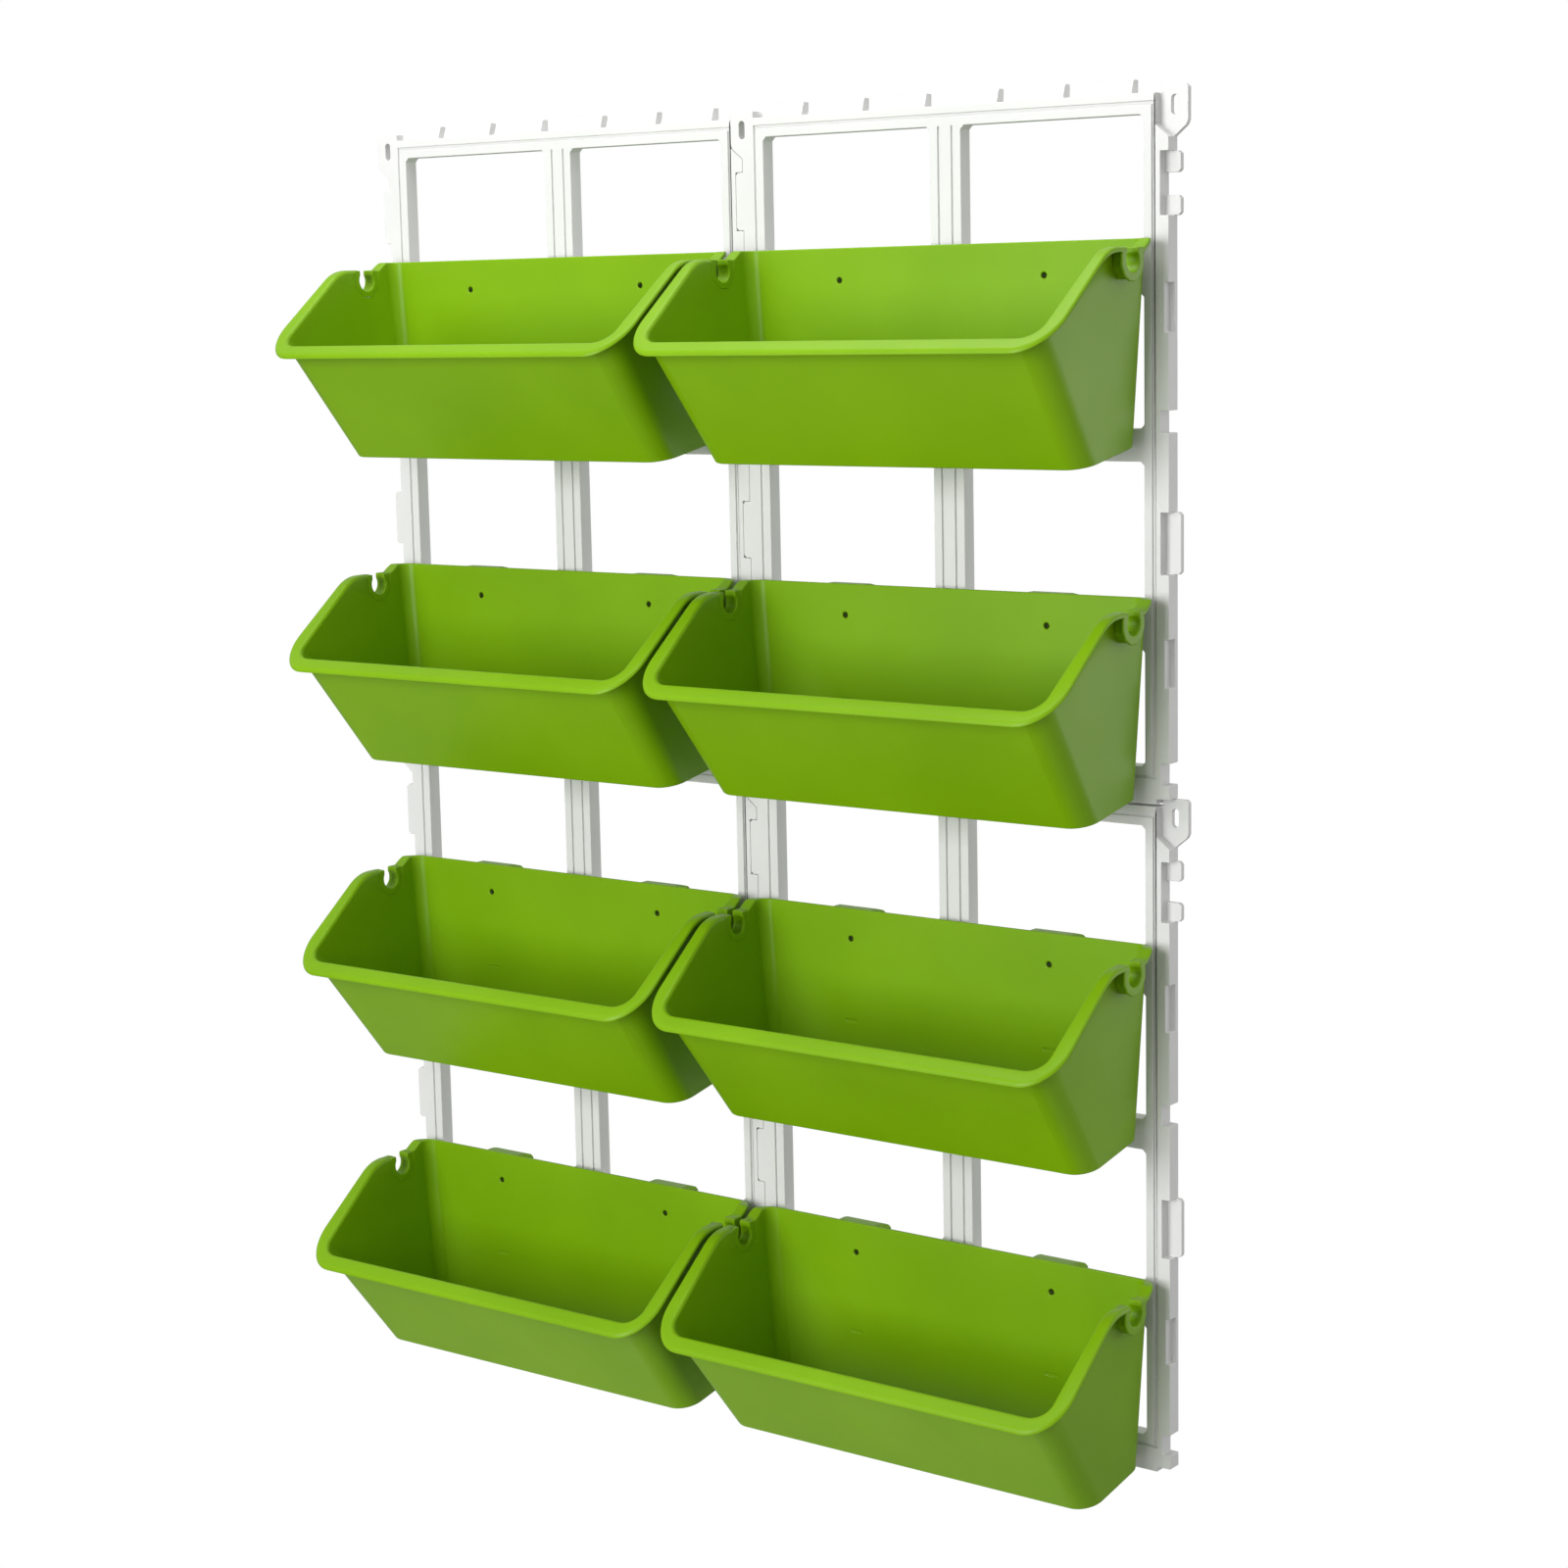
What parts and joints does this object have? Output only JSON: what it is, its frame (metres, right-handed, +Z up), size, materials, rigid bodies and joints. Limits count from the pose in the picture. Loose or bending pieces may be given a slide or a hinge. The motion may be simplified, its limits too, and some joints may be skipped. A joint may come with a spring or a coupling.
{
  "type": "vertical wall planter",
  "caption": "Wall-hung planter: interlocking white lattice panels with slotted screw ears, carrying rows of open green troughs that hook onto rails and lift off.",
  "frame": {"origin": "on the wall plane, at the middle of the two screw slots in the centre column, where the four panels meet left to right", "axes": "+Z up, +X to the right seen from the front, +Y into the wall; the troughs face -Y"},
  "size_m": [0.782, 0.1735, 1.039],
  "materials": {
    "frame_white": "satin moulded plastic",
    "pot_green": "smooth satin moulded plastic"
  },
  "bodies": {
    "frame": {"frame_upper_left": "frame_white", "frame_lower_left": "frame_white", "frame_upper_right": "frame_white", "frame_lower_right": "frame_white"},
    "pot_row1_left": {"pot_row1_left": "pot_green"},
    "pot_row2_left": {"pot_row2_left": "pot_green"},
    "pot_row3_left": {"pot_row3_left": "pot_green"},
    "pot_row4_left": {"pot_row4_left": "pot_green"},
    "pot_row1_right": {"pot_row1_right": "pot_green"},
    "pot_row2_right": {"pot_row2_right": "pot_green"},
    "pot_row3_right": {"pot_row3_right": "pot_green"},
    "pot_row4_right": {"pot_row4_right": "pot_green"}
  },
  "joints": [
    {"name": "lift_row1_left", "type": "slide", "parent": "frame", "child": "pot_row1_left", "axis": [0, 0, 1], "range_m": [0, 0.014]},
    {"name": "lift_row2_left", "type": "slide", "parent": "frame", "child": "pot_row2_left", "axis": [0, 0, 1], "range_m": [0, 0.014]},
    {"name": "lift_row3_left", "type": "slide", "parent": "frame", "child": "pot_row3_left", "axis": [0, 0, 1], "range_m": [0, 0.014]},
    {"name": "lift_row4_left", "type": "slide", "parent": "frame", "child": "pot_row4_left", "axis": [0, 0, 1], "range_m": [0, 0.014]},
    {"name": "lift_row1_right", "type": "slide", "parent": "frame", "child": "pot_row1_right", "axis": [0, 0, 1], "range_m": [0, 0.014]},
    {"name": "lift_row2_right", "type": "slide", "parent": "frame", "child": "pot_row2_right", "axis": [0, 0, 1], "range_m": [0, 0.014]},
    {"name": "lift_row3_right", "type": "slide", "parent": "frame", "child": "pot_row3_right", "axis": [0, 0, 1], "range_m": [0, 0.014]},
    {"name": "lift_row4_right", "type": "slide", "parent": "frame", "child": "pot_row4_right", "axis": [0, 0, 1], "range_m": [0, 0.014]}
  ]
}
